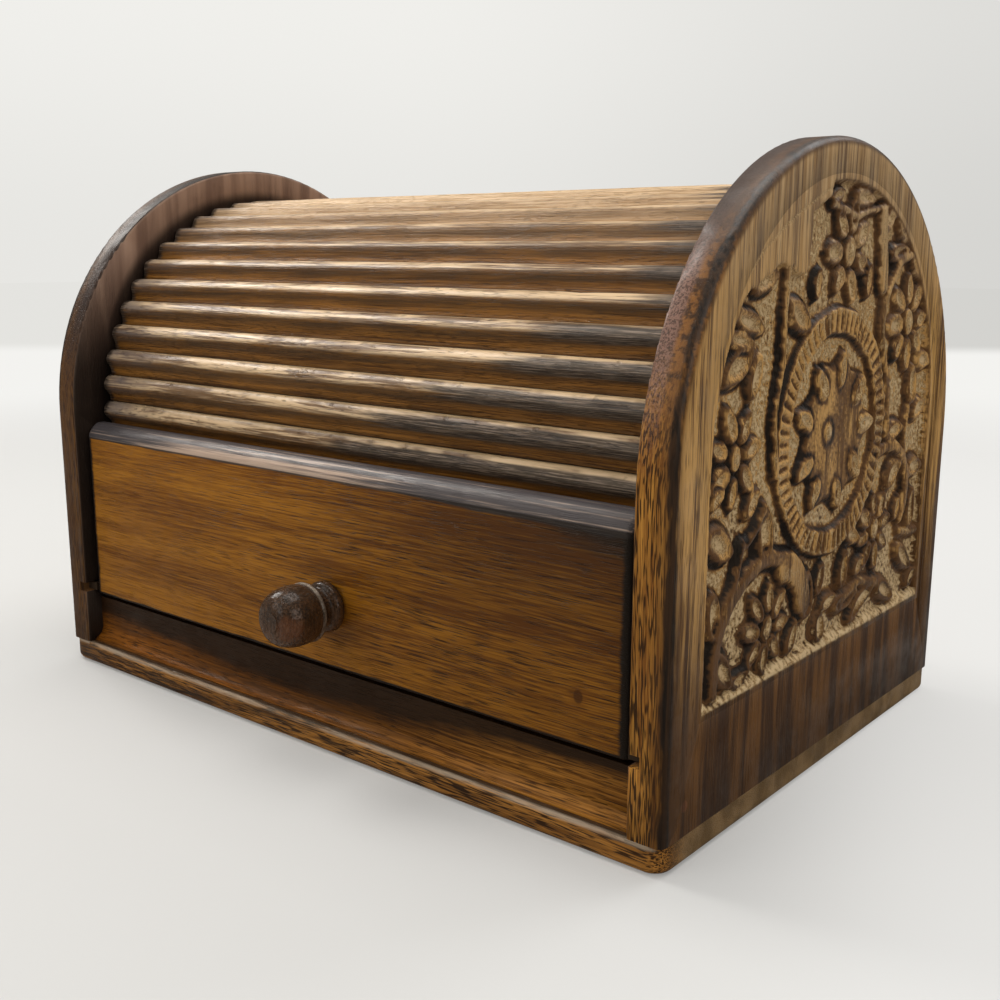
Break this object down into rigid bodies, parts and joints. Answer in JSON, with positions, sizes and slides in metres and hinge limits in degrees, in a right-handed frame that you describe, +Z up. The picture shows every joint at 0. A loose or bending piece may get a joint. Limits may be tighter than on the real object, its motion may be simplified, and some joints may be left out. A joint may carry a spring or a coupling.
{
  "type": "tambour lid box",
  "caption": "Arched roll-top keepsake box with a drawer; pulling the drawer out rolls the slatted tambour back over the open tray, end panels carved with flowers.",
  "frame": {"origin": "centre of the base plate's underside, on the table it rests on", "axes": "+X along the box to the right-hand end panel, -Y out of the drawer front, +Z up"},
  "size_m": [0.21, 0.1578, 0.1467],
  "materials": {
    "panel_wood": "antiqued golden brown hardwood with black burnt edges, satin lacquer; carved arched panel outside",
    "slat_wood": "golden brown hardwood with burnished dark beads, satin lacquer",
    "drawer_front_wood": "warm brown hardwood, horizontal grain, dark rubbed edges, satin lacquer",
    "carcass_wood": "dark stained hardwood, satin lacquer",
    "inner_wood": "plain unstained hardwood, lightly oiled",
    "dark_turned_wood": "dark stained turned hardwood, polished",
    "peg_wood": "end grain hardwood",
    "canvas": "plain woven cotton canvas, glued",
    "screw_steel": "zinc plated countersunk wood screw"
  },
  "bodies": {
    "box": {"base_plate": "carcass_wood", "base_screws": "screw_steel", "right_end_panel": "panel_wood", "left_end_panel": "panel_wood", "front_rail": "carcass_wood", "rail_pegs": "peg_wood", "back_board": "carcass_wood", "tray_floor": "inner_wood", "tray_front_lip": "inner_wood", "tray_rear_lip": "inner_wood"},
    "drawer": {"drawer_front": "drawer_front_wood", "drawer_right_side": "inner_wood", "drawer_left_side": "inner_wood", "drawer_back": "inner_wood", "drawer_bottom": "inner_wood", "drawer_knob": "dark_turned_wood", "knob_peg": "peg_wood", "pull_canvas": "canvas", "pull_slat": "slat_wood"},
    "tambour": {"tambour_canvas": "canvas", "tambour_slat_01": "slat_wood", "tambour_slat_02": "slat_wood", "tambour_slat_03": "slat_wood", "tambour_slat_04": "slat_wood", "tambour_slat_05": "slat_wood", "tambour_slat_06": "slat_wood", "tambour_slat_07": "slat_wood", "tambour_slat_08": "slat_wood", "tambour_slat_09": "slat_wood", "tambour_slat_10": "slat_wood", "tambour_slat_11": "slat_wood", "tambour_slat_12": "slat_wood", "tambour_slat_13": "slat_wood", "tambour_slat_14": "slat_wood", "tambour_slat_15": "slat_wood", "tambour_slat_16": "slat_wood", "tambour_slat_17": "slat_wood", "tambour_slat_18": "slat_wood", "tambour_slat_19": "slat_wood", "tambour_slat_20": "slat_wood", "tambour_slat_21": "slat_wood", "tambour_slat_22": "slat_wood", "tambour_slat_23": "slat_wood", "tambour_slat_24": "slat_wood", "tambour_slat_25": "slat_wood"},
    "rear_slat_01": {"rear_slat_01": "slat_wood"},
    "rear_slat_02": {"rear_slat_02": "slat_wood"},
    "rear_slat_03": {"rear_slat_03": "slat_wood"},
    "rear_slat_04": {"rear_slat_04": "slat_wood"},
    "rear_slat_05": {"rear_slat_05": "slat_wood"},
    "rear_slat_06": {"rear_slat_06": "slat_wood"},
    "rear_slat_07": {"rear_slat_07": "slat_wood"},
    "rear_slat_08": {"rear_slat_08": "slat_wood"},
    "rear_slat_09": {"rear_slat_09": "slat_wood"},
    "rear_slat_10": {"rear_slat_10": "slat_wood"}
  },
  "joints": [
    {"name": "drawer_slide", "type": "slide", "parent": "box", "child": "drawer", "axis": [0, -1, 0], "range_m": [0, 0.07046]},
    {"name": "tambour_roll", "type": "hinge", "parent": "box", "child": "tambour", "pos_m": [0, 0, 0.0757], "axis": [-1, 0, 0], "range_deg": [0, 73.03]},
    {"name": "rear_slat_01_turn", "type": "hinge", "parent": "box", "child": "rear_slat_01", "pos_m": [0, 0.00928, 0.07028], "axis": [-1, 0, 0], "range_deg": [0, 88.57]},
    {"name": "rear_slat_02_turn", "type": "hinge", "parent": "box", "child": "rear_slat_02", "pos_m": [0, 0.00604, 0.07338], "axis": [-1, 0, 0], "range_deg": [0, 81.27]},
    {"name": "rear_slat_03_turn", "type": "hinge", "parent": "box", "child": "rear_slat_03", "pos_m": [0, 0.00284, 0.07746], "axis": [-1, 0, 0], "range_deg": [0, 73.97]},
    {"name": "rear_slat_04_turn", "type": "hinge", "parent": "box", "child": "rear_slat_04", "pos_m": [0, -0.0003, 0.08278], "axis": [-1, 0, 0], "range_deg": [0, 66.67]},
    {"name": "rear_slat_05_turn", "type": "hinge", "parent": "box", "child": "rear_slat_05", "pos_m": [0, -0.00335, 0.08974], "axis": [-1, 0, 0], "range_deg": [0, 59.37]},
    {"name": "rear_slat_06_turn", "type": "hinge", "parent": "box", "child": "rear_slat_06", "pos_m": [0, -0.00629, 0.09897], "axis": [-1, 0, 0], "range_deg": [0, 52.07]},
    {"name": "rear_slat_07_turn", "type": "hinge", "parent": "box", "child": "rear_slat_07", "pos_m": [0, -0.00905, 0.11149], "axis": [-1, 0, 0], "range_deg": [0, 44.77]},
    {"name": "rear_slat_08_turn", "type": "hinge", "parent": "box", "child": "rear_slat_08", "pos_m": [0, -0.01153, 0.12914], "axis": [-1, 0, 0], "range_deg": [0, 37.47]},
    {"name": "rear_slat_09_turn", "type": "hinge", "parent": "box", "child": "rear_slat_09", "pos_m": [0, -0.01353, 0.15552], "axis": [-1, 0, 0], "range_deg": [0, 30.17]},
    {"name": "rear_slat_10_turn", "type": "hinge", "parent": "box", "child": "rear_slat_10", "pos_m": [0, -0.01465, 0.21279], "axis": [-1, 0, 0], "range_deg": [0, 21.22]}
  ],
  "couplings": [
    {"joint": "tambour_roll", "follows": "drawer_slide", "rad_per_m": 18.083},
    {"joint": "rear_slat_01_turn", "follows": "drawer_slide", "rad_per_m": 21.932},
    {"joint": "rear_slat_02_turn", "follows": "drawer_slide", "rad_per_m": 20.124},
    {"joint": "rear_slat_03_turn", "follows": "drawer_slide", "rad_per_m": 18.316},
    {"joint": "rear_slat_04_turn", "follows": "drawer_slide", "rad_per_m": 16.507},
    {"joint": "rear_slat_05_turn", "follows": "drawer_slide", "rad_per_m": 14.699},
    {"joint": "rear_slat_06_turn", "follows": "drawer_slide", "rad_per_m": 12.891},
    {"joint": "rear_slat_07_turn", "follows": "drawer_slide", "rad_per_m": 11.083},
    {"joint": "rear_slat_08_turn", "follows": "drawer_slide", "rad_per_m": 9.2742},
    {"joint": "rear_slat_09_turn", "follows": "drawer_slide", "rad_per_m": 7.4659},
    {"joint": "rear_slat_10_turn", "follows": "drawer_slide", "rad_per_m": 5.2491}
  ]
}
